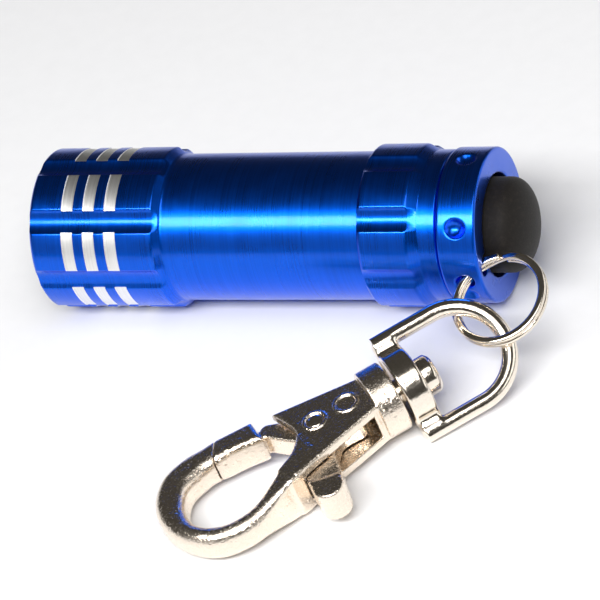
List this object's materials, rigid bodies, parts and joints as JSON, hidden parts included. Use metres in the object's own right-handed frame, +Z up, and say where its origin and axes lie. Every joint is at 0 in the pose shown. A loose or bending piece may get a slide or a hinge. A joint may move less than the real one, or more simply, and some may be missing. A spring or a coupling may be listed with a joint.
{
  "type": "keychain flashlight",
  "caption": "Small aluminium tube torch with a rubber tail button, hung on a split ring from a swivel snap hook with a sprung gate.",
  "frame": {"origin": "on the table, under the middle of the whole object's bounding box", "axes": "+Z is up; the torch lies along X with its beam leaving along -X and its tail button towards +X; the snap hook lies on its -Y side"},
  "size_m": [0.064, 0.056, 0.0188],
  "materials": {
    "anodised_blue": "blue anodised, satin, with bright-cut rings",
    "nickel": "warm bright nickel plate on a zinc casting",
    "nickel_wire": "bright nickel plate on steel wire",
    "black_rubber": "matte moulded rubber",
    "clear_plastic": "clear moulded lens",
    "bright_reflector": "vacuum-metallised",
    "led_epoxy": "water-clear epoxy",
    "circuit_board": "solder mask",
    "gold_contact": "gold-plated spring contact",
    "cell_steel": "nickel-plated cell can",
    "grey_metal": "plain turned",
    "white_plastic": "moulded switch body",
    "dark_plastic": "moulded sleeve"
  },
  "bodies": {
    "torch": {"barrel": "anodised_blue", "bezel_ring": "grey_metal", "lens_gasket": "black_rubber", "lens": "clear_plastic", "reflector": "bright_reflector", "led_1": "led_epoxy", "led_2": "led_epoxy", "led_3": "led_epoxy", "led_board": "circuit_board", "front_contact": "gold_contact", "cell_sleeve": "dark_plastic", "cell_1": "cell_steel", "cell_2": "cell_steel", "cell_3": "cell_steel", "cell_4": "cell_steel"},
    "spring_carrier": {"tail_spring": "gold_contact"},
    "tail_cap": {"tail_cap": "anodised_blue", "neck_o_ring": "black_rubber", "switch_ring": "grey_metal", "switch_housing": "white_plastic"},
    "button": {"rubber_button": "black_rubber", "switch_plunger": "white_plastic"},
    "key_ring": {"split_ring": "nickel_wire"},
    "yoke": {"yoke": "nickel"},
    "clasp": {"hook_body": "nickel", "swivel_post": "nickel", "gate_pivot_pin": "nickel", "gate_spring": "gold_contact"},
    "gate": {"gate_lever": "nickel"}
  },
  "joints": [
    {"name": "cap_slide", "type": "slide", "parent": "torch", "child": "spring_carrier", "axis": [1, 0, 0], "range_m": [0, 0.004]},
    {"name": "cap_turn", "type": "hinge", "parent": "spring_carrier", "child": "tail_cap", "pos_m": [0, 0.01865, 0.0094], "axis": [1, 0, 0], "range_deg": [0, 1440]},
    {"name": "button_press", "type": "slide", "parent": "tail_cap", "child": "button", "axis": [-1, 0, 0], "range_m": [0, 0.0012], "stiffness_N_per_m": 1500},
    {"name": "ring_spin", "type": "hinge", "parent": "tail_cap", "child": "key_ring", "pos_m": [0.02613, 0.00731, 0.00804], "axis": [-0.1326, -0.3624, 0.9225], "range_deg": [-15, 120]},
    {"name": "yoke_slide", "type": "hinge", "parent": "key_ring", "child": "yoke", "pos_m": [0.02217, 0.00059, 0.00524], "axis": [0.345, -0.5076, 0.7895], "range_deg": [-20, 45]},
    {"name": "clasp_swivel", "type": "hinge", "parent": "yoke", "child": "clasp", "pos_m": [0.01477, -0.00571, 0.00442], "axis": [0.7589, 0.6458, 0.0837], "continuous": true},
    {"name": "gate_open", "type": "hinge", "parent": "clasp", "child": "gate", "pos_m": [0.00889, -0.01111, 0.00375], "axis": [-0.0637, -0.0542, 0.9965], "range_deg": [0, 28], "stiffness_Nm_per_rad": 0.02, "springref_deg": -17.19, "deforming": ["gate_spring"]}
  ],
  "couplings": [
    {"joint": "cap_turn", "follows": "cap_slide", "rad_per_m": 6283.2}
  ]
}
